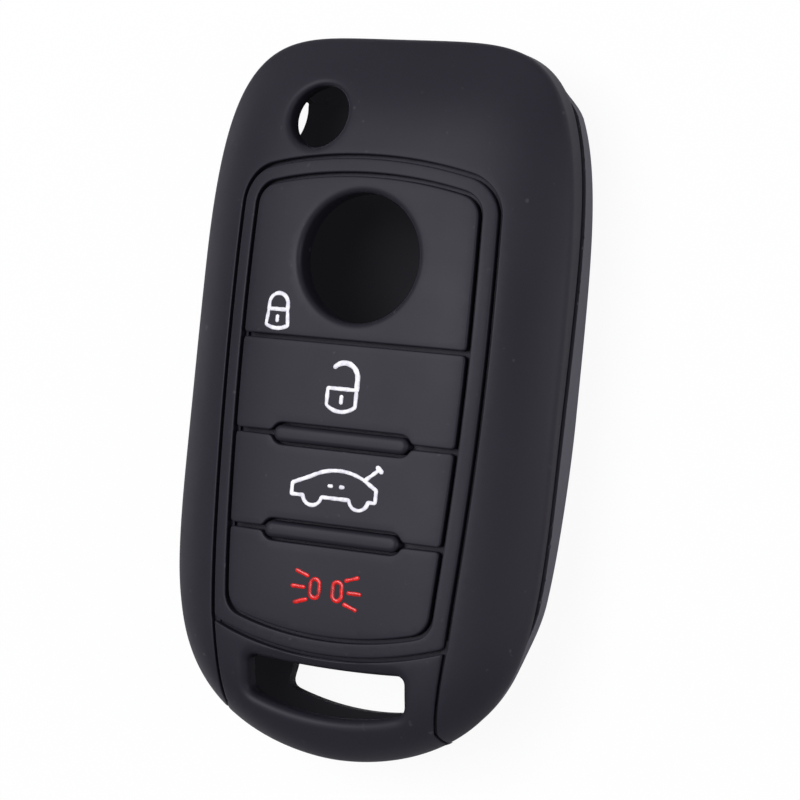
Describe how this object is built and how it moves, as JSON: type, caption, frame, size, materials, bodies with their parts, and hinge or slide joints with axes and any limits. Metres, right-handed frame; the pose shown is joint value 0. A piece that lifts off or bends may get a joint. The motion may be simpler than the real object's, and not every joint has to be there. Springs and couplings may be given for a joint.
{
  "type": "key fob cover",
  "caption": "Soft moulded cover for a folding car key fob: domed button face with sprung pads in a bezel, badge window, blade slot and keyring slot.",
  "frame": {"origin": "middle of the flat back, on the surface the cover lies on", "axes": "+Z out of the button face, +Y along the length to the end with the release hole, +X across to the side with the proud lip"},
  "size_m": [0.0452, 0.0804, 0.017],
  "materials": {
    "silicone": "matte moulded silicone, black",
    "white_ink": "matte filled mark, white",
    "red_ink": "matte filled mark, red"
  },
  "bodies": {
    "cover": {"front_shell": "silicone", "rear_shell": "silicone", "flex_web": "silicone", "pad_bezel": "silicone", "divider_bar_upper": "silicone", "divider_bar_lower": "silicone"},
    "lock_button": {"lock_pad": "silicone", "lock_mark": "white_ink", "lock_keyhole": "white_ink"},
    "unlock_button": {"unlock_pad": "silicone", "unlock_mark": "white_ink", "unlock_keyhole": "white_ink"},
    "boot_button": {"boot_pad": "silicone", "boot_mark": "white_ink", "boot_dot_left": "white_ink", "boot_dot_right": "white_ink"},
    "panic_button": {"panic_pad": "silicone", "lamp_left": "red_ink", "lamp_right": "red_ink", "ray_left_top": "red_ink", "ray_left_mid": "red_ink", "ray_left_low": "red_ink", "ray_right_top": "red_ink", "ray_right_mid": "red_ink", "ray_right_low": "red_ink"}
  },
  "joints": [
    {"name": "lock_press", "type": "slide", "parent": "cover", "child": "lock_button", "axis": [0, 0, -1], "range_m": [0, 0.0006], "stiffness_N_per_m": 1500},
    {"name": "unlock_press", "type": "slide", "parent": "cover", "child": "unlock_button", "axis": [0, 0, -1], "range_m": [0, 0.0006], "stiffness_N_per_m": 1500},
    {"name": "boot_press", "type": "slide", "parent": "cover", "child": "boot_button", "axis": [0, 0, -1], "range_m": [0, 0.0006], "stiffness_N_per_m": 1500},
    {"name": "panic_press", "type": "slide", "parent": "cover", "child": "panic_button", "axis": [0, 0, -1], "range_m": [0, 0.0006], "stiffness_N_per_m": 1500}
  ]
}
